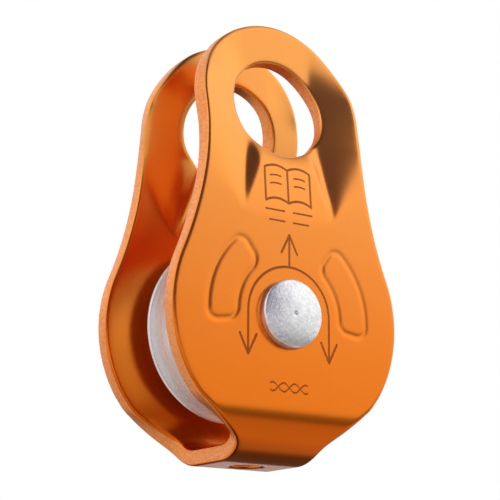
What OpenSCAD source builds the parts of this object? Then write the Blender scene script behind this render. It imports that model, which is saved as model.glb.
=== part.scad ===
// Rope pulley with two fixed side plates. One strap, folded under the sheave, makes both plates.
// The grooved sheave turns on a bush round a spacer sleeve, and a rivet clamps the plates onto the sleeve.
// +Z is up, the axle lies along Y, and the origin is the centre of the attachment hole.

/* [Side plates] */
// Thickness of the strap
plate_t = 3.2; // [2.8:0.1:3.4]
// Depth over the outer faces of the two plates
body_depth = 28.3; // [27.5:0.1:30]
// Radius of the belly round the axle
belly_r = 24.8; // [24:0.1:26]
// Radius of the eye round the attachment hole
eye_r = 17.5; // [16.5:0.1:18.5]
// Radius of the hollow between the belly and the eye
waist_r = 75; // [60:5:100]
// Radius of the attachment hole
hole_r = 9.8; // [8:0.1:10.5]
// Distance from the attachment hole down to the axle
axle_drop = 41; // [40:0.5:44]

/* [Foot] */
// Distance from the axle down to the underside of the fold
foot_drop = 26.6; // [26:0.1:28]
// Outer radius of the two bends
bend_r = 9.5; // [8.5:0.1:10]
// Width of the strap at the underside of the fold
foot_w = 18; // [16:0.5:20]
// Width of the strap at the neck, halfway round each bend
neck_w = 24.4; // [22:0.1:26]
// Distance from the axle down to the neck
neck_drop = 21.5; // [21:0.1:22.5]
// Radius of the hole in the fold
foot_hole_r = 3; // [2:0.5:3.5]

/* [Pressed trough round the eye] */
// Height above the axle where the trough starts
trough_z = 18; // [18:0.5:20]
// Lean of the trough's floor towards the other plate, in degrees
trough_lean = 8; // [6:0.5:9]
// Distance from the centre line to the lowest point of each wing's crease
crease_x = 11; // [10:0.5:12]
// Slope of a wing across the plate
wing_slope_x = 0.3; // [0.2:0.02:0.4]
// Slope of a wing up the plate
wing_slope_z = 0.12; // [0.1:0.01:0.14]

/* [Sheave] */
// Outer radius of the two rims
rim_r = 17.8; // [17:0.1:18]
// Width over the two rims
sheave_w = 15; // [14.5:0.1:16]
// Radius of the tread at the bottom of the groove
tread_r = 11.5; // [11:0.1:12]
// Radius of the rope groove
groove_r = 6.8; // [6.4:0.1:6.9]
// Width over the two hub bosses
hub_w = 17.6; // [17:0.1:18]
// Radius of the hub bosses
hub_r = 9.5; // [9:0.1:10]

/* [Axle] */
// Radius of the rivet's shank
rivet_r = 4; // [3.5:0.1:4.3]
// Radius of the rivet's heads
head_r = 6.5; // [6:0.1:7]
// Height of the straight side of a head
head_side = 1.5; // [1:0.1:2]
// Height of the dome on a head
head_dome = 0.7; // [0.5:0.1:1.2]
// Outer radius of the spacer sleeve
sleeve_r = 5.2; // [5:0.1:5.5]
// Outer radius of the bush
bush_r = 6.6; // [6.2:0.1:7]
// Outer radius of the thrust washers
washer_r = 8.8; // [8:0.1:9.2]

/* [Hidden] */
$fn = 96;

run_gap = 0.05;
face_gap = 0.1;
far = 200;
axle_z = -axle_drop;
inner_gap = body_depth - 2 * plate_t;
washer_t = (inner_gap - hub_w) / 2 - 2 * face_gap;
bend_drop = foot_drop - bend_r;
belly_at_bend = sqrt(belly_r * belly_r - bend_drop * bend_drop);

// Centre of the waist circle, which touches the belly circle and the eye circle from outside
waist_to_eye = eye_r + waist_r;
waist_to_belly = belly_r + waist_r;
waist_z = -(axle_drop * axle_drop + waist_to_eye * waist_to_eye - waist_to_belly * waist_to_belly)
          / (2 * axle_drop);
waist_x = sqrt(waist_to_eye * waist_to_eye - waist_z * waist_z);

// Points where the waist circle touches the other two
belly_touch = [0, axle_z] + belly_r / waist_to_belly * [waist_x, waist_z - axle_z];
eye_touch = eye_r / waist_to_eye * [waist_x, waist_z];

// Lays a flat outline, drawn in X and Z, across the depth of the pulley
module across(depth) {
    rotate([90, 0, 0])
        linear_extrude(height = depth, center = true)
            children();
}

// Turns a profile, drawn as radius and height, into a round part along the axle
module on_axle() {
    translate([0, 0, axle_z])
        rotate([-90, 0, 0])
            rotate_extrude()
                children();
}

// Plain ring along the axle, standing on the plane at y
module axle_ring(y, width, outer, inner) {
    translate([0, y, 0])
        on_axle()
            translate([inner, 0])
                square([outer - inner, width]);
}

// Plain rod along the axle, standing on the plane at y
module axle_rod(y, width, radius) {
    translate([0, y, axle_z])
        rotate([-90, 0, 0])
            cylinder(r = radius, h = width);
}

// Flank from the belly circle to the eye circle, hollowed by the waist circle on each side
module waist() {
    difference() {
        polygon([
            belly_touch,
            eye_touch,
            [-eye_touch[0], eye_touch[1]],
            [-belly_touch[0], belly_touch[1]]
        ]);
        for (side = [-1, 1])
            translate([side * waist_x, waist_z])
                circle(r = waist_r, $fn = 360);
    }
}

// Strap below the start of the bends, narrowing to the neck and then to the underside
module foot() {
    polygon([
        [-belly_at_bend, axle_z - bend_drop],
        [-neck_w / 2, axle_z - neck_drop],
        [-foot_w / 2, axle_z - foot_drop],
        [-foot_w / 2, axle_z - foot_drop - plate_t],
        [foot_w / 2, axle_z - foot_drop - plate_t],
        [foot_w / 2, axle_z - foot_drop],
        [neck_w / 2, axle_z - neck_drop],
        [belly_at_bend, axle_z - bend_drop]
    ]);
}

// Whole strap seen along the axle: the belly, the waist, the eye and the foot
module strap_outline() {
    circle(r = eye_r);
    waist();
    foot();
    difference() {
        translate([0, axle_z])
            circle(r = belly_r);
        translate([-belly_r, axle_z - bend_drop - belly_r])
            square([2 * belly_r, belly_r]);
    }
}

// Space in front of a plane that passes through a point and is turned first about X, then about Z
module in_front_of(point, lean, turn) {
    translate(point)
        rotate([0, 0, turn])
            rotate([-lean, 0, 0])
                translate([-far, -2 * far, -far])
                    cube([2 * far, 2 * far, 2 * far]);
}

// Trough pressed into the front plate: a leaning floor between two wings, moved back by a depth
module trough(back) {
    face_y = back - body_depth / 2;
    wing_turn = atan(wing_slope_x);
    wing_lean = atan(wing_slope_z * cos(wing_turn));
    intersection() {
        in_front_of([0, face_y, axle_z + trough_z], trough_lean, 0);
        for (side = [-1, 1])
            in_front_of([side * crease_x, face_y, axle_z + trough_z], wing_lean, -side * wing_turn);
    }
}

// Space between the front faces and the middle of the pulley, above the start of the bends
module front_half() {
    translate([-far, -body_depth / 2, axle_z - bend_drop])
        cube([2 * far, body_depth / 2, 2 * far]);
}

// Front plate before it is cut to the outline: a flat slab with the trough pressed into it
module front_slab() {
    difference() {
        union() {
            translate([-far, -body_depth / 2, axle_z - bend_drop])
                cube([2 * far, plate_t, 2 * far]);
            intersection() {
                trough(plate_t);
                front_half();
            }
        }
        trough(0);
    }
}

// The fold seen along the bend: two quarter rounds with the flat bridge between them
module fold_section(inset) {
    round_r = bend_r - inset;
    round_y = body_depth / 2 - bend_r;
    for (side = [-1, 1])
        translate([side * round_y, axle_z - bend_drop])
            circle(r = round_r);
    translate([-round_y, axle_z - bend_drop - round_r])
        square([2 * round_y, round_r]);
    translate([-round_y - round_r, axle_z - bend_drop])
        square([2 * (round_y + round_r), plate_t]);
}

module fold() {
    rotate([90, 0, 90])
        linear_extrude(height = 3 * belly_r, center = true)
            difference() {
                fold_section(0);
                fold_section(plate_t);
                translate([-body_depth, axle_z - bend_drop + plate_t])
                    square([2 * body_depth, belly_r]);
            }
}

module side_plates() {
    color("darkorange")
        difference() {
            intersection() {
                across(2 * far)
                    strap_outline();
                union() {
                    front_slab();
                    mirror([0, 1, 0])
                        front_slab();
                    fold();
                }
            }
            rotate([90, 0, 0])
                cylinder(r = hole_r, h = 2 * far, center = true);
            translate([0, 0, axle_z])
                rotate([90, 0, 0])
                    cylinder(r = rivet_r, h = 2 * far, center = true);
            translate([0, 0, axle_z - foot_drop])
                cylinder(r = foot_hole_r, h = 4 * plate_t, center = true);
        }
}

module sheave() {
    groove_x = tread_r + groove_r;
    color("silver")
        on_axle()
            difference() {
                union() {
                    translate([bush_r, -sheave_w / 2])
                        square([rim_r - bush_r, sheave_w]);
                    translate([bush_r, -hub_w / 2])
                        square([hub_r - bush_r, hub_w]);
                }
                translate([groove_x, 0])
                    circle(r = groove_r);
                translate([groove_x, -groove_r])
                    square([rim_r, 2 * groove_r]);
            }
}

module bush() {
    color("peru")
        axle_ring(-hub_w / 2, hub_w, bush_r, sleeve_r + run_gap);
}

module spacer_sleeve() {
    color("gray")
        axle_ring(-inner_gap / 2, inner_gap, sleeve_r, rivet_r);
}

// Half of a head, drawn as radius and height: a straight side under a low dome
module head_profile() {
    dome_r = (head_r * head_r + head_dome * head_dome) / (2 * head_dome);
    square([head_r, head_side]);
    intersection() {
        translate([0, head_side + head_dome - dome_r])
            circle(r = dome_r, $fn = 720);
        translate([0, head_side / 2])
            square([head_r, head_side + head_dome]);
    }
}

module rivet() {
    color("lightgray") {
        axle_rod(-body_depth / 2 - head_side / 2, body_depth + head_side, rivet_r);
        for (side = [0, 1])
            mirror([0, side, 0])
                translate([0, body_depth / 2, 0])
                    on_axle()
                        head_profile();
    }
}

module front_thrust_washer() {
    color("ivory")
        axle_ring(-inner_gap / 2 + face_gap, washer_t, washer_r, sleeve_r + run_gap);
}

module back_thrust_washer() {
    color("ivory")
        axle_ring(hub_w / 2 + face_gap, washer_t, washer_r, sleeve_r + run_gap);
}

side_plates();
sheave();
bush();
spacer_sleeve();
rivet();
front_thrust_washer();
back_thrust_washer();
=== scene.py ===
# %% [markdown]
# # A small rope pulley with fixed side plates
# One strap of orange anodised aluminium is folded into a U and makes both side plates. A turned sheave
# spins between them on a riveted axle. The CAD model fixes every size, and this lesson adds the pressed
# trough, the rolled edges, the engraved marks and the finishes that the eye expects of the real thing.

import math

import bpy
import numpy as np
from mathutils import Matrix, Vector
from mathutils.geometry import delaunay_2d_cdt


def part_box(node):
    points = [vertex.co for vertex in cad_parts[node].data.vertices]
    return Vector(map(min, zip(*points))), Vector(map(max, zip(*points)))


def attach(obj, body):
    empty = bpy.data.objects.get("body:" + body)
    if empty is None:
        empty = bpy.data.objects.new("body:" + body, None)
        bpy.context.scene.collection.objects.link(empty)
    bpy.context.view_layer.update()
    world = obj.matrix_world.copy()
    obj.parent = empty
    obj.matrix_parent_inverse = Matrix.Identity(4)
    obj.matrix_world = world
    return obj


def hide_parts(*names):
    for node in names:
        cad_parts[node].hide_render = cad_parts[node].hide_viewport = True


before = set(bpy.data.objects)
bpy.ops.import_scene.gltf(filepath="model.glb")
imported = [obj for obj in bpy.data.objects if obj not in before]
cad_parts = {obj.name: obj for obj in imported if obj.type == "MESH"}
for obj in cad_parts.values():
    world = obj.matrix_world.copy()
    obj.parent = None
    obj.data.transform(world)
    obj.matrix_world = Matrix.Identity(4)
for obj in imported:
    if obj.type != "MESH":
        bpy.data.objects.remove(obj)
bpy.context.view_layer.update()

# %% [markdown]
# ## Sizes
# All sizes are in millimetres, as in a workshop drawing, and each shape is turned into metres at the very
# end. The boxes of the CAD nodes give the main ones, so the pieces always fit the frame they ride on. The
# sizes that a box can't show, such as a bend's radius, repeat the driving dimensions of the CAD model.

# %% Sizes from the CAD boxes
MM = 1000.0


def box_mm(node):
    """Lowest and highest corner of a CAD node, in millimetres."""
    low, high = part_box(node)
    return np.array(low) * MM, np.array(high) * MM


strap_low, strap_high = box_mm("side_plates")
sheave_low, sheave_high = box_mm("sheave")
rivet_high = box_mm("rivet")[1]
sleeve_low, sleeve_high = box_mm("spacer_sleeve")
bush_low, bush_high = box_mm("bush")

BELLY_R = strap_high[0]
HALF_DEPTH = strap_high[1]
AXLE_Z = (sheave_low[2] + sheave_high[2]) / 2
FOOT_DROP = AXLE_Z - strap_low[2]
EYE_R = 17.5
RIM_R = sheave_high[0]
HUB_HALF = sheave_high[1]
HEAD_R = rivet_high[0]
HEAD_TOP = rivet_high[1]
SLEEVE_R = sleeve_high[0]
BUSH_R = bush_high[0]
PLATE_T = 3.2
WAIST_R = 75.0
HOLE_R = 9.8
BEND_R = 9.5
FOOT_HALF = 9.0
FOOT_HOLE_R = 3.0
RIVET_R = 4.0
print("belly", BELLY_R, "half depth", HALF_DEPTH, "axle", AXLE_Z, "foot", FOOT_DROP)

# %% [markdown]
# ## The camera
# The pulley hangs above the camera and turns its left side a little towards it, so the camera looks up from
# the front and the left. A long lens from nearby keeps the perspective of a product shot.

# %% Camera
TURN = math.radians(-33.0)
LIFT = math.radians(-14.43)
ROLL = math.radians(0.4)
AWAY_MM = 290.0
LENS_MM = 109.1
AIM_RIGHT_MM = 0.405
AIM_UP_MM = 14.8

right = np.array([math.cos(TURN), math.sin(TURN), 0.0])
back = np.array([math.sin(TURN) * math.cos(LIFT), -math.cos(TURN) * math.cos(LIFT), math.sin(LIFT)])
up = np.cross(back, right)
aim = np.array([0.0, 0.0, AXLE_Z]) + AIM_RIGHT_MM * right + AIM_UP_MM * up
place_mm = aim + AWAY_MM * back

camera_data = bpy.data.cameras.new("camera")
camera_data.lens = LENS_MM
camera_data.sensor_width = 36.0
camera_data.clip_start = 0.01
camera_data.clip_end = 20.0
camera = bpy.data.objects.new("camera", camera_data)
bpy.context.scene.collection.objects.link(camera)
level = math.cos(ROLL) * right + math.sin(ROLL) * up
upright = np.cross(back, level)
axes = Matrix((tuple(level), tuple(upright), tuple(back))).transposed().to_4x4()
camera.matrix_world = Matrix.Translation(Vector(place_mm / MM)) @ axes
bpy.context.scene.camera = camera
print("camera at", place_mm / MM)

# %% [markdown]
# ## Meshes from arrays
# Every piece is worked out as whole arrays of points, so one helper puts the arrays into a Blender mesh.
# It merges nothing and turns nothing: the arrays already close their seams and point their faces outwards.

# %% Mesh helpers
def add_piece(name, points_mm, faces, body, nodes, tags=None):
    """Mesh from points in millimetres and faces; tags is a number for each point, kept as an attribute."""
    mesh = bpy.data.meshes.new(name)
    mesh.from_pydata((points_mm / MM).tolist(), [], faces)
    mesh.polygons.foreach_set("use_smooth", np.ones(len(mesh.polygons), dtype=bool))
    if tags is not None:
        layer = mesh.attributes.new("cut_edge", "FLOAT", "POINT")
        layer.data.foreach_set("value", np.asarray(tags, dtype=np.float32))
    mesh.validate()
    mesh.update()
    piece = bpy.data.objects.new(name, mesh)
    bpy.context.scene.collection.objects.link(piece)
    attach(piece, body)
    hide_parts(*nodes)
    print(name, len(mesh.vertices), "points", len(mesh.polygons), "faces")
    return piece


def grid_faces(rows, columns, wrap_rows, wrap_columns):
    """Quads of a grid of rows by columns, joined round in either direction where asked."""
    i = np.arange(rows if wrap_rows else rows - 1)[:, None]
    j = np.arange(columns if wrap_columns else columns - 1)[None, :]
    i2 = (i + 1) % rows
    j2 = (j + 1) % columns
    quads = np.stack([i * columns + j, i * columns + j2, i2 * columns + j2, i2 * columns + j], axis=-1)
    return quads.reshape(-1, 4)


def rounded(corners, radii, steps=6):
    """Polyline of the corners with each corner swapped for an arc that touches both of its sides."""
    points = []
    count = len(corners)
    for index in range(count):
        here = np.array(corners[index], dtype=float)
        radius = radii[index]
        if radius == 0:
            points.append(here[None, :])
            continue
        to_last = np.array(corners[index - 1], dtype=float) - here
        to_next = np.array(corners[(index + 1) % count], dtype=float) - here
        to_last /= np.linalg.norm(to_last)
        to_next /= np.linalg.norm(to_next)
        half = math.acos(float(np.clip(to_last @ to_next, -1, 1))) / 2
        start = here + to_last * radius / math.tan(half)
        end = here + to_next * radius / math.tan(half)
        middle = (to_last + to_next) / np.linalg.norm(to_last + to_next)
        centre = here + middle * radius / math.sin(half)
        share = np.linspace(0, 1, steps + 1)[:, None]
        spread = math.pi - 2 * half
        arc = (np.sin((1 - share) * spread) * (start - centre) + np.sin(share * spread) * (end - centre))
        points.append(centre + arc / math.sin(spread))
    return np.concatenate(points)


def turned_ring(profile, turns=192):
    """Closed ring: a closed profile of radius and distance along Y, carried once round the axle."""
    angle = np.linspace(0, 2 * np.pi, turns, endpoint=False)[:, None]
    radius = profile[None, :, 0]
    x = radius * np.cos(angle)
    z = AXLE_Z + radius * np.sin(angle)
    y = np.broadcast_to(profile[None, :, 1], x.shape)
    points = np.stack([x, y, z], axis=-1).reshape(-1, 3)
    return points, outward(points, grid_faces(turns, len(profile), True, True))


def outward(points, faces):
    """Faces turned over if the solid they enclose comes out with a negative volume."""
    a, b, c = points[faces[:, 0]], points[faces[:, 1]], points[faces[:, 2]]
    volume = np.einsum("ij,ij->i", a, np.cross(b, c)).sum()
    if faces.shape[1] == 4:
        d = points[faces[:, 3]]
        volume += np.einsum("ij,ij->i", a, np.cross(c, d)).sum()
    return faces if volume > 0 else faces[:, ::-1]


print("helpers ready")

# %% [markdown]
# ## The strap's outline
# The strap is cut flat and then folded, so its outline is drawn as it lies flat. `x` runs across the strap
# and `v` along it, with 0 in the middle of the bridge under the sheave and the two eyes at the ends. A plate
# has a round eye, a round belly and a hollow waist whose circle touches both. Below the belly the strap
# narrows in a soft S to the foot.

# %% Outline of the flat strap
BEND_MID = BEND_R - PLATE_T / 2
BRIDGE_HALF = HALF_DEPTH - BEND_R
BEND_START = FOOT_DROP - BEND_R
BEND_ARC = BEND_MID * math.pi / 2
V_PLATE = BRIDGE_HALF + BEND_ARC
V_AXLE = V_PLATE + BEND_START
V_EYE = V_AXLE - AXLE_Z
FLARE_SLOPE = 1.5
FLARE_START = 5.9
FLARE_SOFT = 1.6
FOOT_TUCK = 0.3
LEAVE_DROP = 14.0


def soft_ramp(value, width):
    """Ramp that is 0 well below zero and equal to the value well above it, rounded over the width."""
    return 0.5 * (value + np.sqrt(value * value + width * width))


def smooth_step(low, high, value):
    """0 below low, 1 above high, and an S curve between them."""
    share = np.clip((value - low) / (high - low), 0, 1)
    return share * share * (3 - 2 * share)


def even_points(points, gap):
    """Points spaced evenly along a polyline, about one gap apart, ends kept."""
    reach = np.concatenate([[0], np.cumsum(np.linalg.norm(np.diff(points, axis=0), axis=1))])
    stops = np.linspace(0, reach[-1], max(2, int(round(reach[-1] / gap)) + 1))
    return np.stack([np.interp(stops, reach, points[:, k]) for k in range(2)], axis=-1)


def foot_half_width(v):
    """Half the strap's width near the foot: straight flanks that run out softly into the narrow bridge."""
    flank = FLARE_SLOPE * soft_ramp(v - (V_PLATE - FLARE_START), FLARE_SOFT)
    return FOOT_HALF - FOOT_TUCK + flank


def right_side(gap):
    """Right half of the outline from the top of the eye to the middle of the bridge.

    The belly's circle is left on its tangent, which the foot then overtakes by a soft minimum. Near the
    bridge the tangent is lifted, so that the foot alone sets the width there.
    """
    drop = V_EYE - V_AXLE
    to_eye, to_belly = EYE_R + WAIST_R, BELLY_R + WAIST_R
    waist_v = -(drop ** 2 + to_eye ** 2 - to_belly ** 2) / (2 * drop)
    waist_x = math.sqrt(to_eye ** 2 - waist_v ** 2)
    top_end = math.atan2(waist_v, waist_x)
    belly_start = math.atan2(waist_v + drop, waist_x)
    angle = np.linspace(math.pi / 2, top_end, 400)
    eye = np.stack([EYE_R * np.cos(angle), V_EYE + EYE_R * np.sin(angle)], axis=-1)
    angle = np.linspace(math.pi + top_end, math.pi + belly_start, 400)
    waist = np.stack([waist_x + WAIST_R * np.cos(angle), V_EYE + waist_v + WAIST_R * np.sin(angle)], axis=-1)
    leave = -math.asin(LEAVE_DROP / BELLY_R)
    angle = np.linspace(belly_start, leave, 600)
    belly = np.stack([BELLY_R * np.cos(angle), V_AXLE + BELLY_R * np.sin(angle)], axis=-1)
    v = np.linspace(belly[-1, 1], 0, 600)[1:]
    tangent = belly[-1, 0] - (belly[-1, 1] - v) * math.tan(-leave)
    tangent = tangent + 2 * soft_ramp(V_PLATE - 3 - v, 0.5)
    narrow = tangent - soft_ramp(tangent - foot_half_width(v), 0.8)
    flank = np.stack([narrow, v], axis=-1)
    return even_points(np.concatenate([eye, waist[1:], belly[1:], flank]), gap)


side_line = right_side(0.45)
other_half = side_line[-2::-1] * [1, -1]
right_line = np.concatenate([side_line, other_half])
outline = np.concatenate([right_line, right_line[-2:0:-1] * [-1, 1]])
print("outline", len(outline), "points, flat length", np.ptp(outline[:, 1]), "mm")

# %% [markdown]
# ## The pressed trough and the kidney grooves
# Round each eye the plate is pressed inwards, so that the two eyes come close enough together for one
# carabiner. Two creases run down beside the hole and die out in the flat belly. Outside them the plate
# slopes back out as wings, and between them, below the hole, it is crowned. All of it is one height
# function, worked out for whole arrays at once.

# %% Height functions
PRESS_DEPTH = 5.17
START_SLOPE = 0.09
CREASE_X, CREASE_DRIFT = 10.4, 2.4
CREASE_SOFT = 0.8
WING_SLOPE, WING_STEEPER, WING_FLATTER = 0.31, 0.12, 0.8
WING_REACH, REACH_GROWTH = 2.8, 3
WING_TOP_SOFT = 0.3
FLANK_WIDTH, FLANK_GROWTH = 1.2, 2.3
CROWN = 0.62
LIP_DEEP, LIP_WIDE = 0.45, 1.4
KIDNEY_IN, KIDNEY_OUT = 11.3, 17.5
KIDNEY_MID = math.radians(22.5)
KIDNEY_SPREAD = math.radians(31.5)
KIDNEY_CORNER = 2.1
GROOVE_DEEP = 0.12
GROOVE_HALF = 0.5
SLOPE_SPAN = 0.3
LEAN_SPAN = 2.5

# Heights above the axle between which each part of the press comes in or dies out
FLOOR_RISE = (18, 50)
START_END = (22, 36)
CREASE_RISE = (16, 39)
STEEP_END = (24, 34)
WING_END = (45, 55)
REACH_RISE = (20, 40)
FLANK_RISE = (18, 31)
CROWN_END = (28, 37)
LIP_RISE = (24, 28)
LIP_END = (31, 35)


def press(x, rise):
    """Inward depth of the press at a height above the axle: the floor less the crown, less the wings.

    A wing rises from its crease at a slope that dies away over its reach, which is short where the press
    starts and long beside the hole. The lip is a small roll inwards along the hole's lower edge.
    """
    start = START_SLOPE * soft_ramp(rise - FLOOR_RISE[0], 0.6) * (1 - smooth_step(*START_END, rise))
    floor = PRESS_DEPTH * smooth_step(*FLOOR_RISE, rise) + start
    crease = CREASE_X - CREASE_DRIFT * smooth_step(*CREASE_RISE, rise)
    low = 1 - smooth_step(*STEEP_END, rise)
    slope = (WING_SLOPE + WING_STEEPER * low) * (1 - WING_FLATTER * smooth_step(*WING_END, rise))
    reach = WING_REACH * np.exp(REACH_GROWTH * smooth_step(*REACH_RISE, rise))
    across = np.abs(x)
    away = soft_ramp(across - crease, CREASE_SOFT) - soft_ramp(-crease, CREASE_SOFT)
    wing = slope * reach * (1 - np.exp(-away / reach))
    flank = FLANK_WIDTH + FLANK_GROWTH * smooth_step(*FLANK_RISE, rise)
    dome = 1 - smooth_step(crease - flank, crease + 0.2, across)
    crown = CROWN * (1 - smooth_step(*CROWN_END, rise)) * dome
    from_hole = np.maximum(np.hypot(x, rise + AXLE_Z) - HOLE_R, 0)
    lip = LIP_DEEP * np.exp(-from_hole / LIP_WIDE) * (1 - smooth_step(*LIP_END, rise))
    pressed = soft_ramp(floor * (1 - crown) - wing, WING_TOP_SOFT * floor)
    return pressed + lip * smooth_step(*LIP_RISE, rise)


def kidney_distance(x, rise):
    """Distance in the plate's plane from the line of the nearer kidney, a ring sector with round corners."""
    radius = np.hypot(x, rise)
    turn = np.arctan2(rise, np.abs(x)) - KIDNEY_MID
    u = np.abs(radius - (KIDNEY_IN + KIDNEY_OUT) / 2) - (KIDNEY_OUT - KIDNEY_IN) / 2 + KIDNEY_CORNER
    w = radius * np.sin(np.clip(np.abs(turn) - KIDNEY_SPREAD, -1.5, 1.5)) + KIDNEY_CORNER
    outside = np.hypot(np.maximum(u, 0), np.maximum(w, 0))
    return outside + np.minimum(np.maximum(u, w), 0) - KIDNEY_CORNER


def groove(x, v):
    """Depth of the kidney grooves below the outer face: a rounded furrow along the kidney's line."""
    away = kidney_distance(x, np.abs(v) - V_AXLE) / GROOVE_HALF
    return GROOVE_DEEP * np.exp(-away * away)


def lean(x, rise, span):
    """Slopes of the press across and up the plate, taken as differences over a span on either side."""
    across = (press(x + span, rise) - press(x - span, rise)) / (2 * span)
    upward = (press(x, rise + span) - press(x, rise - span)) / (2 * span)
    return across, upward


def fold(x, v, depth):
    """Places a point of the flat strap: across the bridge, round the bend, or up the pressed plate.

    On a plate the depth is laid off at right angles to the sheet. Its sideways part uses a lean averaged
    over a few millimetres, so that the inner face doesn't cross itself at a crease.
    """
    side = np.where(v < 0, 1.0, -1.0)
    along = np.abs(v)
    rise = along - V_AXLE
    slope_x, slope_z = lean(x, rise, SLOPE_SPAN)
    stretch = np.sqrt(1 + slope_x ** 2 + slope_z ** 2)
    lean_x, lean_z = lean(x, rise, LEAN_SPAN)
    turn = np.clip((along - BRIDGE_HALF) / BEND_MID, 0, np.pi / 2)
    radius = BEND_R - depth
    y_bend = np.minimum(along, BRIDGE_HALF) + radius * np.sin(turn)
    z_bend = AXLE_Z - BEND_START - radius * np.cos(turn)
    on_plate = along > V_PLATE
    y = np.where(on_plate, HALF_DEPTH - press(x, rise) - depth * stretch, y_bend)
    z = np.where(on_plate, AXLE_Z + rise - depth * lean_z, z_bend)
    return np.stack([x - np.where(on_plate, depth * lean_x, 0), side * y, z], axis=-1)


print("press at the eye", float(press(np.array(0.0), np.array(50.0))), "mm")

# %% [markdown]
# ## Filling the faces
# Inside the outline the faces are filled with an even lattice of points, joined by a Delaunay triangulation
# that keeps the outline and the holes as edges. The lattice is finer round the kidney grooves. The same flat
# net makes the outer and the inner face, and strips between the two make the cut edges.

# %% Flat net of points
EDGE_R = 0.42
ROLL_W = 0.8
LATTICE = 0.52
FINE = 0.34
LOOP_GAP = 0.45
SMALL_LOOP_GAP = 0.4


def circle_line(v, radius, gap):
    """Circle on the centre line, drawn against the clock, for a hole of the strap."""
    count = max(24, int(round(2 * np.pi * radius / gap)))
    angle = np.linspace(0, 2 * np.pi, count, endpoint=False)
    return np.stack([radius * np.cos(angle), v + radius * np.sin(angle)], axis=-1)


def loop_normals(loop):
    """Unit vectors that point out of the metal, at right angles to the neighbours' chord."""
    chord = np.roll(loop, -1, axis=0) - np.roll(loop, 1, axis=0)
    normal = np.stack([-chord[:, 1], chord[:, 0]], axis=-1)
    return normal / np.linalg.norm(normal, axis=1, keepdims=True)


def inside(loop, points):
    """True for each point inside a closed loop, by counting crossings of a ray along x."""
    a = loop[None, :, :]
    b = np.roll(loop, -1, axis=0)[None, :, :]
    result = []
    for part in np.array_split(points, max(1, len(points) // 4000)):
        p = part[:, None, :]
        spans = (a[..., 1] > p[..., 1]) != (b[..., 1] > p[..., 1])
        rise = np.where(b[..., 1] == a[..., 1], 1e-12, b[..., 1] - a[..., 1])
        at_x = a[..., 0] + (p[..., 1] - a[..., 1]) / rise * (b[..., 0] - a[..., 0])
        result.append(((p[..., 0] < at_x) & spans).sum(axis=1) % 2 == 1)
    return np.concatenate(result)


def lattice(gap, x_max, v_max):
    """Staggered rows of points one gap apart, filling a rectangle."""
    rows = np.arange(-v_max, v_max, gap * math.sqrt(3) / 2)
    columns = np.arange(-x_max, x_max, gap)
    x, v = np.meshgrid(columns, rows)
    x = x + (np.arange(len(rows)) % 2)[:, None] * gap / 2
    return np.stack([x.ravel(), v.ravel()], axis=-1)


signed = loop_normals(outline)
middle_out = (signed * (outline - outline.mean(axis=0))).sum()
if middle_out < 0:
    outline = outline[::-1]
holes = [
    (V_EYE, HOLE_R, LOOP_GAP), (-V_EYE, HOLE_R, LOOP_GAP), (V_AXLE, RIVET_R, LOOP_GAP),
    (-V_AXLE, RIVET_R, LOOP_GAP), (0, FOOT_HOLE_R, SMALL_LOOP_GAP),
]
cut_loops = [outline] + [circle_line(*hole) for hole in holes]
cut_normals = [loop_normals(loop) for loop in cut_loops]
face_loops = [loop - ROLL_W * normal for loop, normal in zip(cut_loops, cut_normals)]


def keep_inside(points, gap):
    """Points at least most of a gap inside the metal, away from the outline and from every hole."""
    shy = 0.7 * gap
    shrunk = face_loops[0] - shy * loop_normals(face_loops[0])
    kept = points[inside(shrunk, points)]
    for v, radius, _ in holes:
        kept = kept[np.hypot(kept[:, 0], kept[:, 1] - v) > radius + ROLL_W + shy]
    return kept


coarse = keep_inside(lattice(LATTICE, BELLY_R + 1, V_EYE + EYE_R + 1), LATTICE)
fine = keep_inside(lattice(FINE, BELLY_R + 1, V_AXLE + 24), FINE)
near = np.abs(kidney_distance(coarse[:, 0], np.abs(coarse[:, 1]) - V_AXLE)) < 1.7
close = np.abs(kidney_distance(fine[:, 0], np.abs(fine[:, 1]) - V_AXLE)) < 1.5
loop_sizes = [len(loop) for loop in face_loops]
loop_starts = np.concatenate([[0], np.cumsum(loop_sizes)])
flat_points = np.concatenate(face_loops + [coarse[~near], fine[close]])
ring_edges = []
for start, size in zip(loop_starts, loop_sizes):
    index = np.arange(size)
    ring_edges.append(np.stack([start + index, start + (index + 1) % size], axis=-1))
ring_edges = np.concatenate(ring_edges)
net = delaunay_2d_cdt([Vector(p) for p in flat_points.tolist()], ring_edges.tolist(), [], 0, 1e-7)
net_points = np.array([tuple(p) for p in net[0]])
net_faces = np.array(net[2])
centres = net_points[net_faces].mean(axis=1)
solid = inside(face_loops[0], centres)
for loop in face_loops[1:]:
    solid &= ~inside(loop, centres)
net_faces = net_faces[solid]
added = len(net_points) - len(flat_points)
print("net", len(net_points), "points", len(net_faces), "triangles,", added, "points added")

# %% Strap mesh
ROUND_STEPS = 6
BAND_STEPS = 4


def edge_section():
    """Inset and depth across a cut edge: a quarter of an ellipse, the straight band, and another quarter."""
    turn = np.linspace(0, np.pi / 2, ROUND_STEPS + 1)
    inset = ROLL_W * (1 - np.sin(turn))
    depth = EDGE_R * (1 - np.cos(turn))
    band = np.linspace(EDGE_R, PLATE_T - EDGE_R, BAND_STEPS + 1)[1:-1]
    insets = np.concatenate([inset, np.zeros(len(band)), inset[::-1]])
    depths = np.concatenate([depth, band, PLATE_T - depth[::-1]])
    on_band = np.concatenate([np.zeros(ROUND_STEPS), np.ones(len(band) + 2), np.zeros(ROUND_STEPS)])
    return insets, depths, on_band


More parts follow.
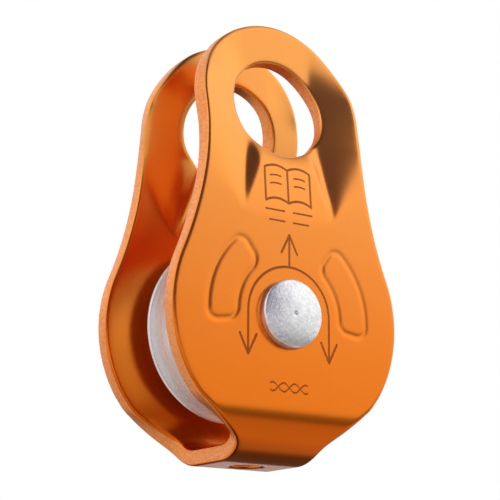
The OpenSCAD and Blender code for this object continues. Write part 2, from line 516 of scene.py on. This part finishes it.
insets, depths, on_band = edge_section()
outer = fold(net_points[:, 0], net_points[:, 1], groove(net_points[:, 0], net_points[:, 1]))
inner = fold(net_points[:, 0], net_points[:, 1], np.full(len(net_points), PLATE_T))
net_size = len(net_points)
blocks = [outer, inner]
tags = [np.zeros(2 * net_size)]
strap_faces = [net_faces, net_faces[:, ::-1] + net_size]
strap_quads = []
total = 2 * net_size
for loop, normal, start in zip(cut_loops, cut_normals, loop_starts):
    size = len(loop)
    rows = []
    for inset, depth, band in zip(insets[1:-1], depths[1:-1], on_band[1:-1]):
        line = loop - inset * normal
        blocks.append(fold(line[:, 0], line[:, 1], np.full(size, depth)))
        tags.append(np.full(size, band))
        rows.append(total + np.arange(size))
        total += size
    rows = [start + np.arange(size)] + rows + [net_size + start + np.arange(size)]
    rows = np.array(rows)
    ahead = np.roll(rows, -1, axis=1)
    quads = np.stack([rows[:-1], ahead[:-1], ahead[1:], rows[1:]], axis=-1).reshape(-1, 4)
    strap_quads.append(quads)
strap_points = np.concatenate(blocks)
quads = np.concatenate(strap_quads)
triangles = np.concatenate(strap_faces)


def enclosed(points, faces):
    """Six times the volume that triangles enclose."""
    a, b, c = points[faces[:, 0]], points[faces[:, 1]], points[faces[:, 2]]
    return float(np.einsum("ij,ij->i", a, np.cross(b, c)).sum())


def edge_balance(all_quads):
    """Sum over directed edges that no opposite edge answers: 0 when quads and triangles agree."""
    pairs = np.concatenate([
        triangles[:, [0, 1]], triangles[:, [1, 2]], triangles[:, [2, 0]],
        all_quads[:, [0, 1]], all_quads[:, [1, 2]], all_quads[:, [2, 3]], all_quads[:, [3, 0]],
    ]).astype(np.int64)
    key = pairs[:, 0] * len(strap_points) + pairs[:, 1]
    twin = pairs[:, 1] * len(strap_points) + pairs[:, 0]
    return int((~np.isin(key, twin)).sum())


if edge_balance(quads) > edge_balance(quads[:, ::-1]):
    quads = quads[:, ::-1]
open_edges = edge_balance(quads)
split_quads = np.concatenate([quads[:, [0, 1, 2]], quads[:, [0, 2, 3]]])
volume = enclosed(strap_points, np.concatenate([triangles, split_quads])) / 6
if volume < 0:
    triangles, quads = triangles[:, ::-1], quads[:, ::-1]
print("strap volume", abs(volume), "mm3, unmatched edges", open_edges)
strap = add_piece(
    "strap", strap_points, triangles.tolist() + quads.tolist(), "frame",
    ["side_plates"], np.concatenate(tags),
)

# %% [markdown]
# ## The turned parts
# The sheave, the bush, the sleeve, the washers and the rivet all come off a lathe, so each is one profile
# carried round the axle. Small rounds on the corners catch the light as real turned edges do.

# %% Sheave
TREAD_R = 11.5
GROOVE_R = 6.8
RIM_HALF = 7.5
HUB_R = 9.5
RECESS_IN, RECESS_OUT = 10.6, 15.5
RECESS_DEEP, RECESS_RUN = 0.5, 0.3
groove_mid = TREAD_R + GROOVE_R
reach = math.acos((groove_mid - RIM_R + 0.12) / GROOVE_R)
arc = np.linspace(reach, -reach, 61)
groove_line = np.stack([groove_mid - GROOVE_R * np.cos(arc), GROOVE_R * np.sin(arc)], axis=-1)
flank = [
    (BUSH_R, HUB_HALF), (HUB_R, HUB_HALF), (HUB_R, RIM_HALF), (RECESS_IN, RIM_HALF),
    (RECESS_IN + RECESS_RUN, RIM_HALF - RECESS_DEEP), (RECESS_OUT - RECESS_RUN, RIM_HALF - RECESS_DEEP),
    (RECESS_OUT, RIM_HALF), (RIM_R, RIM_HALF),
]
flank_rounds = [0.3, 0.4, 0, 0.1, 0.25, 0.25, 0.1, 0.25]
half_profile = rounded(flank + [(RIM_R, 0), (BUSH_R, 0)], flank_rounds + [0, 0])[:-2]
sheave_profile = np.concatenate([half_profile, groove_line, (half_profile * [1, -1])[::-1]])
sheave_points, sheave_faces = turned_ring(sheave_profile, 256)
sheave = add_piece("turned_sheave", sheave_points, sheave_faces.tolist(), "wheel", ["sheave"])

# %% Bush, sleeve and washers
RUN_GAP = 0.05


def plain_ring(inner_r, outer_r, low_y, high_y, chamfer):
    """Rectangle of a ring's section with its four corners rounded."""
    corners = [(inner_r, low_y), (outer_r, low_y), (outer_r, high_y), (inner_r, high_y)]
    return rounded(corners, [chamfer] * 4, 4)


ring_list = [
    ("bronze_bush", plain_ring(SLEEVE_R + RUN_GAP, BUSH_R, bush_low[1], bush_high[1], 0.2), "wheel",
     "bush_bronze", "bush"),
    ("steel_sleeve", plain_ring(RIVET_R, SLEEVE_R, sleeve_low[1], sleeve_high[1], 0.2), "frame",
     "sleeve_steel", "spacer_sleeve"),
]
for side_name in ("front", "back"):
    node = side_name + "_thrust_washer"
    low, high = box_mm(node)
    ring = plain_ring(SLEEVE_R + RUN_GAP, high[0], low[1], high[1], 0.25)
    ring_list.append((side_name + "_washer_ring", ring, side_name + "_washer", "washer_polymer", node))
rings = {}
for name, profile, body, slot, node in ring_list:
    ring_points, ring_faces = turned_ring(profile, 128)
    rings[name] = add_piece(name, ring_points, ring_faces.tolist(), body, [node])

# %% [markdown]
# The rivet is closed at both ends, so its profile starts and ends on the axle. Those two ends are single
# points with a fan of triangles round them, which leaves no hole at the poles.

# %% Rivet
HEAD_SIDE = 1.5
HEAD_CORNER = 0.45
DIMPLE_DEEP, DIMPLE_R = 0.07, 0.55
head_dome = HEAD_TOP - HALF_DEPTH - HEAD_SIDE
dome_r = (HEAD_R ** 2 + head_dome ** 2) / (2 * head_dome)
dome_end = math.asin((HEAD_R - HEAD_CORNER) / dome_r)
dome_turn = np.linspace(0, dome_end, 26)
dome = np.stack([dome_r * np.sin(dome_turn), HEAD_TOP - dome_r * (1 - np.cos(dome_turn))], axis=-1)
dome[:, 1] -= DIMPLE_DEEP * np.exp(-(dome[:, 0] / DIMPLE_R) ** 2)
corner_turn = np.linspace(dome_end, np.pi / 2, 10)[1:]
corner_mid = dome[-1] - HEAD_CORNER * np.array([math.sin(dome_end), math.cos(dome_end)])
corner = corner_mid + HEAD_CORNER * np.stack([np.sin(corner_turn), np.cos(corner_turn)], axis=-1)
corner[:, 0] = np.minimum(corner[:, 0], HEAD_R)
under = np.array([
    (HEAD_R, HALF_DEPTH + 0.18), (HEAD_R - 0.2, HALF_DEPTH + 0.02), (RIVET_R + 0.1, HALF_DEPTH),
    (RIVET_R, HALF_DEPTH - 0.1),
])
head_line = np.concatenate([dome, corner, under])
rivet_line = np.concatenate([head_line[1:], (head_line * [1, -1])[:0:-1]])
turns = 128
angle = np.linspace(0, 2 * np.pi, turns, endpoint=False)[:, None]
rivet_points = np.stack([
    rivet_line[None, :, 0] * np.cos(angle),
    np.broadcast_to(rivet_line[None, :, 1], (turns, len(rivet_line))),
    AXLE_Z + rivet_line[None, :, 0] * np.sin(angle),
], axis=-1).reshape(-1, 3)
body_quads = grid_faces(turns, len(rivet_line), True, False)
columns = len(rivet_line)
ends = np.array([[0, dome[0, 1], AXLE_Z], [0, -dome[0, 1], AXLE_Z]])
rivet_points = np.concatenate([rivet_points, ends])
here = np.arange(turns) * columns
ahead = np.roll(here, -1)
first, last = len(rivet_points) - 2, len(rivet_points) - 1
fan_a = np.stack([np.full(turns, first), ahead, here], axis=-1)
fan_b = np.stack([np.full(turns, last), here + columns - 1, ahead + columns - 1], axis=-1)
body_quads_out = outward(rivet_points, body_quads)
flipped = not np.array_equal(body_quads_out, body_quads)
fans = np.concatenate([fan_a, fan_b])
fans = fans[:, ::-1] if flipped else fans
rivet = add_piece(
    "steel_rivet", rivet_points, body_quads_out.tolist() + fans.tolist(), "frame", ["rivet"],
)

# %% [markdown]
# ## Shader maths in plain expressions
# A material is a formula, so it is written as one. `Value` wraps a node's output and adds a Math node for
# every plus, minus or times. `Shade` owns a material's node tree, and its one method makes any other node.

# %% Shader helpers
ONE_MM = 1 / MM


class Value:
    """A socket that can be used in an expression."""

    def __init__(self, shade, socket):
        self.shade = shade
        self.socket = socket

    def math(self, operation, other=None):
        values = {0: self}
        if other is not None:
            values[1] = other
        return self.shade.node("ShaderNodeMath", {"operation": operation}, values)

    def __add__(self, other):
        return self.math("ADD", other)

    __radd__ = __add__

    def __mul__(self, other):
        return self.math("MULTIPLY", other)

    __rmul__ = __mul__

    def __sub__(self, other):
        return self.math("SUBTRACT", other)

    def __rsub__(self, other):
        return self.shade.node("ShaderNodeMath", {"operation": "SUBTRACT"}, {0: other, 1: self})

    def __truediv__(self, other):
        return self.math("DIVIDE", other)

    def __abs__(self):
        return self.math("ABSOLUTE")


class Shade:
    """One material and the nodes in it."""

    def __init__(self, name):
        self.material = bpy.data.materials.new(name)
        self.material.use_nodes = True
        self.tree = self.material.node_tree
        self.shader = next(n for n in self.tree.nodes if n.type == "BSDF_PRINCIPLED")
        self.object_place = self.node("ShaderNodeTexCoord", {}, {}, "Object")

    def fill(self, socket, value):
        if isinstance(value, Value):
            self.tree.links.new(value.socket, socket)
        elif isinstance(value, (tuple, list)) and socket.type == "RGBA" and len(value) == 3:
            socket.default_value = (*value, 1.0)
        else:
            socket.default_value = value

    def node(self, kind, settings, sockets, output=0):
        made = self.tree.nodes.new(kind)
        for key, value in settings.items():
            setattr(made, key, value)
        for key, value in sockets.items():
            self.fill(made.inputs[key], value)
        return Value(self, made.outputs[output])

    def axes(self):
        split = self.node("ShaderNodeSeparateXYZ", {}, {0: self.object_place})
        tree_node = split.socket.node
        return [Value(self, tree_node.outputs[k]) for k in range(3)]

    def noise(self, scale, detail=4.0, roughness=0.6, stretch=(1, 1, 1)):
        place = self.node("ShaderNodeMapping", {}, {"Vector": self.object_place, "Scale": stretch})
        return self.node(
            "ShaderNodeTexNoise", {},
            {"Vector": place, "Scale": scale, "Detail": detail, "Roughness": roughness},
        )

    def mix(self, share, low, high):
        return self.node(
            "ShaderNodeMix", {"data_type": "RGBA"}, {"Factor": share, 6: low, 7: high}, 2
        )

    def bump(self, height):
        """Normal from a height in millimetres."""
        return self.node(
            "ShaderNodeBump", {}, {"Height": height, "Distance": ONE_MM, "Strength": 1.0}, "Normal"
        )

    def step(self, value, low, high):
        """1 where the value is below low, 0 above high, smooth between."""
        return self.node(
            "ShaderNodeMapRange", {"interpolation_type": "SMOOTHSTEP"},
            {"Value": value, "From Min": low, "From Max": high, "To Min": 1.0, "To Max": 0.0},
        )

    def finish(self, **inputs):
        for key, value in inputs.items():
            self.fill(self.shader.inputs[key.replace("_", " ")], value)
        return self.material


print("shader helpers ready")

# %% [markdown]
# ## Orange anodising
# Anodised aluminium is bare metal seen through a thin dyed layer, so its colour is in the reflection: full
# metallic, with a deep orange base. The face is satin with a very fine grain. The blanked edge is broken
# metal under the same dye, so it is lighter and grainy. The marks are engraved before the dye and read as
# thin dark lines: a ring and two arrows for the rope's pull, an arrow up for the load, an open book, four
# short lines and a twist of strands.

# %% Anodised strap
MARK_LINE = (0.13, 0.26)
THIN_LINE = (0.08, 0.18)
FRONT_LIMIT = 1.2 - (HALF_DEPTH - PRESS_DEPTH)


def capsule(shade, x, z, start, end):
    """Distance from a point to a straight line between two ends, all in millimetres."""
    ax, az = start
    dx, dz = end[0] - ax, end[1] - az
    length2 = dx * dx + dz * dz
    px, pz = x - ax, z - az
    share = (px * dx + pz * dz) / length2
    share = share.math("MINIMUM", 1.0).math("MAXIMUM", 0.0)
    qx, qz = px - share * dx, pz - share * dz
    return (qx * qx + qz * qz).math("SQRT")


def nearest(first, *others):
    """Smallest of several distances."""
    for other in others:
        first = first.math("MINIMUM", other)
    return first


def engraved_marks(shade, x, z):
    """Distance from the nearest engraved line, in millimetres, with z counted from the axle."""
    side = abs(x)
    ring_r = 8.95
    radius = (x * x + z * z).math("SQRT")
    above = shade.step(z, -0.02, 0.02)
    ring = abs(radius - ring_r) + above * 50.0
    leg = capsule(shade, side, z, (ring_r, 0.0), (ring_r, -8.1))
    barbs = nearest(
        capsule(shade, side, z, (ring_r, -8.15), (ring_r - 1.8, -4.5)),
        capsule(shade, side, z, (ring_r, -8.15), (ring_r + 1.8, -4.5)),
    )
    stem = capsule(shade, side, z, (0.0, 9.0), (0.0, 15.0))
    head = capsule(shade, side, z, (0.0, 15.1), (1.75, 11.6))
    curve = (side - 2.55) * (side - 2.55) * -0.11
    page_z = z - curve
    pages = nearest(
        capsule(shade, side, page_z, (0.0, 28.6), (5.1, 28.6)),
        capsule(shade, side, page_z, (0.0, 22.0), (5.1, 22.0)),
        capsule(shade, side, page_z, (5.1, 22.0), (5.1, 28.6)),
        capsule(shade, side, page_z, (0.0, 22.0), (0.0, 28.6)),
    )
    lines = nearest(
        capsule(shade, side, page_z, (1.5, 26.6), (3.9, 26.6)),
        capsule(shade, side, page_z, (1.5, 25.0), (3.9, 25.0)),
        capsule(shade, side, z, (1.0, 19.6), (5.2, 19.6)),
        capsule(shade, side, z, (1.0, 17.6), (4.4, 17.6)),
    )
    strands = abs((x * 1.3).math("SINE") * 0.8 - (z + 13.6))
    strands = nearest(strands, abs((x * 1.3).math("SINE") * -0.8 - (z + 13.6)))
    strands = strands + shade.step(side * -1.0, -4.6, -4.2) * 50.0
    return nearest(ring, leg, barbs, stem, head, pages), nearest(lines, strands)


shade = Shade("orange_anodised")
x, y, z = shade.axes()
x_mm, y_mm, z_mm = x * MM, y * MM, z * MM - AXLE_Z
marks, page_lines = engraved_marks(shade, x_mm, z_mm)
on_front = shade.step(y_mm, FRONT_LIMIT, FRONT_LIMIT + 0.2)
outer_face = shade.node("ShaderNodeNewGeometry", {}, {}, "True Normal")
facing = shade.node("ShaderNodeSeparateXYZ", {}, {0: outer_face}, 1)
forward = shade.step(facing, -0.6, -0.4)
cut = shade.step(marks, *MARK_LINE) * on_front * forward
fine_cut = shade.step(page_lines, *THIN_LINE) * on_front * forward
engraved = cut.math("MAXIMUM", fine_cut)
edge = shade.node("ShaderNodeAttribute", {"attribute_name": "cut_edge"}, {}, "Fac")
grain = shade.noise(2600.0, 3.0, 0.65)
torn = shade.noise(3200.0, 3.0, 0.65, (1, 0.4, 1))
cloud = shade.noise(45.0, 2.0, 0.5)
speck = shade.step(torn, 0.40, 0.64)
# Painted highlight: the face colour is lightened from the deep dye low on the plates to a pale orange at the
# eyes, standing in for brighter light on the upper plates.
painted_top_light_share = shade.step(z_mm * -1.0, -52.0, 22.0)
deep_dye = shade.mix(cloud, (0.94, 0.205, 0.008), (0.98, 0.228, 0.011))
dye_with_painted_top_light = shade.mix(painted_top_light_share, deep_dye, (0.95, 0.375, 0.082))
edge_colour = shade.mix(speck, (0.97, 0.40, 0.13), (0.90, 0.29, 0.075))
colour = shade.mix(edge, dye_with_painted_top_light, edge_colour)
colour = shade.mix(engraved * 0.65, colour, (0.30, 0.065, 0.012))
rough = 0.20 + grain * 0.06 + edge * (0.18 + speck * 0.08) + engraved * 0.3
height = grain * 0.0012 + edge * torn * 0.02 - engraved * 0.12
strap.data.materials.append(shade.finish(
    Base_Color=colour, Metallic=1.0, Roughness=rough, Normal=shade.bump(height),
    Coat_Weight=0.14, Coat_Roughness=0.12,
))
print("strap finish", len(shade.tree.nodes), "nodes")

# %% [markdown]
# ## Turned aluminium, ground steel, tumbled steel, bronze and plastic
# A lathe tool leaves fine rings about the axle, so those finishes read the distance from the axle and the
# distance along it. A tumbled rivet is speckled all over instead: tiny dents, each with its own shine.

# %% Turned and tumbled finishes
def turned_finish(name, colour_low, colour_high, rough, ring_mm, ring_deep, metallic=1.0):
    """Metal with tool rings: a wave of the radius plus the distance along the axle."""
    shade = Shade(name)
    x, y, z = shade.axes()
    up_mm = z * MM - AXLE_Z
    radius = (x * x * (MM * MM) + up_mm * up_mm).math("SQRT")
    path = radius + y * MM
    wobble = shade.noise(260.0, 3.0, 0.6)
    rings = ((path + wobble * 0.03) * (2 * math.pi / ring_mm)).math("SINE")
    slow = ((path + wobble * 0.08) * (2 * math.pi / (ring_mm * 4.3))).math("SINE")
    smear = shade.noise(70.0, 3.0, 0.6)
    colour = shade.mix(smear * 0.7 + slow * 0.12, colour_low, colour_high)
    height = rings * ring_deep + slow * ring_deep * 0.6
    roughness = rough + smear * 0.10 + slow * 0.03
    return shade.finish(
        Base_Color=colour, Metallic=metallic, Roughness=roughness, Normal=shade.bump(height),
    )


sheave.data.materials.append(
    turned_finish("turned_aluminium", (0.86, 0.92, 0.95), (0.94, 1.0, 1.0), 0.24, 0.32, 0.002, 0.5))
rings["bronze_bush"].data.materials.append(
    turned_finish("sintered_bronze", (0.42, 0.26, 0.12), (0.60, 0.40, 0.20), 0.34, 0.4, 0.004))
rings["steel_sleeve"].data.materials.append(
    turned_finish("ground_steel", (0.40, 0.40, 0.41), (0.56, 0.56, 0.57), 0.16, 0.2, 0.002))

shade = Shade("tumbled_steel")
dents = shade.noise(1500.0, 5.0, 0.72)
blotch = shade.noise(420.0, 3.0, 0.6)
colour = shade.mix(shade.step(dents, 0.40, 0.60), (1.0, 1.0, 1.0), (0.84, 0.84, 0.85))
colour = shade.mix(shade.step(blotch, 0.36, 0.46) * 0.35, colour, (0.66, 0.66, 0.67))
rivet.data.materials.append(shade.finish(
    Base_Color=colour, Metallic=0.8, Roughness=0.14 + blotch * 0.14,
    Normal=shade.bump(dents * 0.05 + blotch * 0.012),
))

for name in ("front_washer_ring", "back_washer_ring"):
    shade = Shade(name.replace("ring", "acetal"))
    cloud = shade.noise(120.0, 3.0, 0.6)
    fine_grain = shade.noise(2200.0, 2.0, 0.5)
    rings[name].data.materials.append(shade.finish(
        Base_Color=shade.mix(cloud, (0.74, 0.72, 0.65), (0.82, 0.80, 0.74)), Metallic=0.0,
        Roughness=0.42 + cloud * 0.12, Normal=shade.bump(fine_grain * 0.01),
    ))
print("finishes", len(bpy.data.materials))

# %% [markdown]
# ## A plain pale floor
# The pulley hangs in the air as if from a carabiner, well above a pale floor, so nothing hides its foot.

# %% Floor
FLOOR_DROP = 0.32
half = 3.0
floor_mesh = bpy.data.meshes.new("floor")
corners = [(-half, -half), (half, -half), (half, half), (-half, half)]
floor_mesh.from_pydata([(x, y, -FLOOR_DROP) for x, y in corners], [], [(0, 1, 2, 3)])
floor = bpy.data.objects.new("floor", floor_mesh)
bpy.context.scene.collection.objects.link(floor)
shade = Shade("pale_floor")
cloud = shade.noise(3.0, 3.0, 0.5)
floor_mesh.materials.append(shade.finish(
    Base_Color=shade.mix(cloud, (0.86, 0.86, 0.86), (0.90, 0.90, 0.90)), Roughness=0.85,
))
floor.visible_glossy = False

# %% [markdown]
# ## Soft studio light
# Bright metal shows the room more than its own colour, so the light is painted as a room. Most of it is a
# white tent. A dark panel stands in front above the horizon, a dark strip lies just below the horizon in
# front on the right, and the room darkens straight down and low at the back, but not low on the left. The
# camera sees plain white.

# %% World
def studio_world():
    """Room as a function of direction: azimuth from the front towards the right, and height."""
    world = bpy.data.worlds.new("studio")
    world.use_nodes = True
    bpy.context.scene.world = world
    tree = world.node_tree
    tree.nodes.clear()
    room = Shade.__new__(Shade)
    room.tree = tree
    way = room.node("ShaderNodeTexCoord", {}, {}, "Generated")
    split = room.node("ShaderNodeSeparateXYZ", {}, {0: way}).socket.node
    dx, dy, dz = [Value(room, split.outputs[k]) for k in range(3)]
    azimuth = dx.math("ARCTAN2", dy * -1.0) * (180 / math.pi)
    rise = dz.math("ARCSINE") * (180 / math.pi)
    dark_front = room.step(abs(azimuth + 7.0), 26.0, 34.0) * room.step(rise * -1.0, -12.0, -3.0)
    side_glow = room.step(abs(azimuth - 80.0), 25.0, 60.0)
    rear = room.step(abs(abs(azimuth) - 180.0), 60.0, 85.0)
    top = room.step(rise * -1.0, -66.0, -32.0)
    skirting = room.step(abs(rise + 8.0), 4.0, 12.5) * room.step(abs(azimuth - 33.0), 22.0, 34.0)
    below = room.step(rise, -14.0, -4.0)
    deep = room.step(rise, -72.0, -50.0)
    low_left = 1.0 - room.step(abs(azimuth + 120.0), 45.0, 65.0) * 0.9
    below = below * low_left
    deep = deep * low_left
    climb = room.step(rise * -1.0, -26.0, -6.0)
    light = 1.0 - dark_front * 0.90
    light = light * (0.92 + side_glow * 0.14 + climb * 0.30)
    light = light * (1.0 - top * 0.55)
    light = light * (1.0 - skirting * 0.72)
    light = light * (1.0 - below * 0.42) * (1.0 - below * rear * 0.8) * (1.0 - deep * 0.93)
    green = light * (1.0 - below * 0.25 - dark_front * 0.2)
    blue = light * (1.0 - below * 0.4 + dark_front * 0.45)
    tint = room.node("ShaderNodeCombineColor", {}, {0: light, 1: green, 2: blue})
    soft = room.node("ShaderNodeBackground", {}, {0: tint, 1: 0.9})
    white = room.node("ShaderNodeBackground", {}, {0: (1.0, 1.0, 1.0), 1: 1.0})
    seen = room.node("ShaderNodeLightPath", {}, {}, "Is Camera Ray")
    both = room.node("ShaderNodeMixShader", {}, {0: seen, 1: soft, 2: white})
    output = tree.nodes.new("ShaderNodeOutputWorld")
    tree.links.new(both.socket, output.inputs["Surface"])


studio_world()
bpy.context.scene.view_settings.view_transform = "Standard"
print("world ready")
